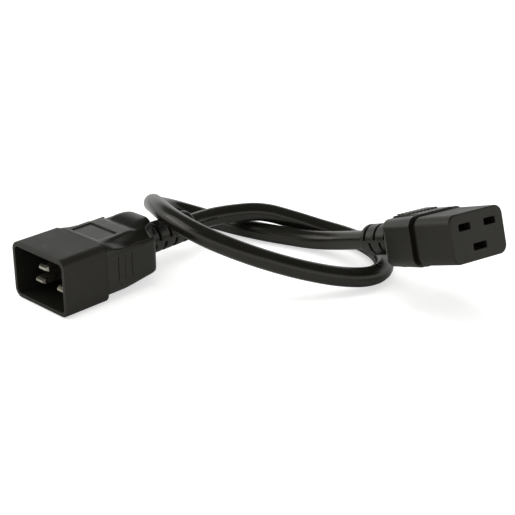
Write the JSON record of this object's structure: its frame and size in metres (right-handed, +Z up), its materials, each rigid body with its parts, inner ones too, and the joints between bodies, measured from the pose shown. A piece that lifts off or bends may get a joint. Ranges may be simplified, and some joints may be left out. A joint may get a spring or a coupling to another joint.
{
  "type": "c19 power connector on a short cord with a c20 plug",
  "caption": "Moulded C19 power connector with a short looped round cord and a C20 plug, all black, for data centre equipment.",
  "frame": {"origin": "centre of the flat underside of the C20 plug's shroud, which lies on the floor", "axes": "+X from the plug's open rim back towards its cord; +Z up; +Y to the left of the plug as seen from behind its cord's way in, so the connector lies on the -Y side with its face towards -Y"},
  "size_m": [0.1309, 0.156, 0.0425],
  "materials": {
    "hard_black": "fine moulded grain",
    "soft_black": "satin soft moulding",
    "cord_black": "smooth satin",
    "blade_metal": "nickel plated",
    "contact_metal": "sprung strip",
    "copper": "bare copper strand",
    "core_brown": "insulation",
    "core_blue": "insulation",
    "core_green": "insulation"
  },
  "bodies": {
    "root": {"cord_jacket": "cord_black", "plug_blade_earth": "blade_metal", "plug_blade_line": "blade_metal", "plug_blade_neutral": "blade_metal", "plug_core_earth": "core_green", "plug_core_line": "core_brown", "plug_core_neutral": "core_blue", "plug_grip": "soft_black", "plug_inner_mould": "hard_black", "plug_shroud": "hard_black", "plug_wire_earth": "copper", "plug_wire_line": "copper", "plug_wire_neutral": "copper", "socket_body": "hard_black", "socket_contact_earth": "contact_metal", "socket_contact_line": "contact_metal", "socket_contact_neutral": "contact_metal", "socket_core_earth": "core_green", "socket_core_line": "core_brown", "socket_core_neutral": "core_blue", "socket_grip": "soft_black", "socket_inner_mould": "hard_black", "socket_wire_earth": "copper", "socket_wire_line": "copper", "socket_wire_neutral": "copper"}
  },
  "joints": []
}
